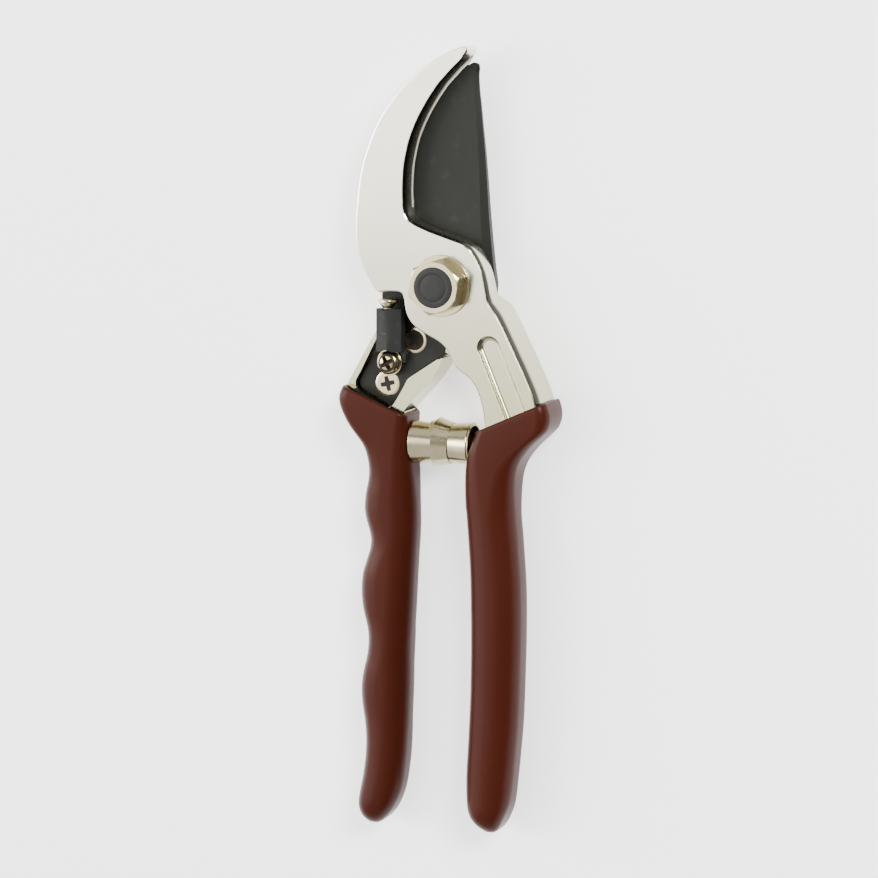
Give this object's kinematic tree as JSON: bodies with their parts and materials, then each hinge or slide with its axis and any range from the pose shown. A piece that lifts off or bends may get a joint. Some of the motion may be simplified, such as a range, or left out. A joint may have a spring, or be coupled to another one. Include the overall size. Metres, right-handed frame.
{
  "type": "pruning shears",
  "caption": "Bypass pruning shears with a forged hook, coated blade on a bolted pivot, volute spring, swing latch and dipped grips.",
  "frame": {"origin": "on the pivot's axis, in the plane of the bolt head's flat back, which the shears rest on", "axes": "+Z out of the front of the shears as they lie flat; +Y towards the tip of the blade; the hook is on the -X side"},
  "size_m": [0.0599, 0.2091, 0.0209],
  "materials": {
    "polished_frame": "polished",
    "dipped_grip": "glossy dipped vinyl",
    "coated_blade": "satin non-stick coating",
    "plated_steel": "nickel plated",
    "black_plastic": "satin",
    "black_lever": "satin black coating",
    "spring_strip": "bright nickel-plated spring strip"
  },
  "bodies": {
    "hook_half": {"hook_frame": "polished_frame", "hook_grip": "dipped_grip", "hook_spring_peg": "plated_steel", "pivot_bolt": "plated_steel", "pivot_washer": "plated_steel", "pivot_nut": "plated_steel", "nut_cap": "black_plastic", "volute_spring": "spring_strip"},
    "blade_half": {"blade_frame": "polished_frame", "blade_grip": "dipped_grip", "cutting_blade": "coated_blade", "lower_blade_screw": "plated_steel", "upper_blade_screw": "plated_steel", "latch_screw": "plated_steel", "latch_washer": "plated_steel", "blade_spring_peg": "plated_steel"},
    "latch": {"latch_lever": "black_lever", "latch_tip_screw": "plated_steel"}
  },
  "joints": [
    {"name": "handle_open", "type": "hinge", "parent": "hook_half", "child": "blade_half", "pos_m": [0, 0, 0.005], "axis": [0, 0, -1], "range_deg": [0, 22], "deforming": ["volute_spring"]},
    {"name": "latch_swing", "type": "hinge", "parent": "blade_half", "child": "latch", "pos_m": [-0.016, -0.0212, 0.009], "axis": [0, 0, 1], "range_deg": [0, 66]}
  ],
  "couplings": [
    {"joint": "latch_swing", "follows": "handle_open", "ratio": 3}
  ]
}
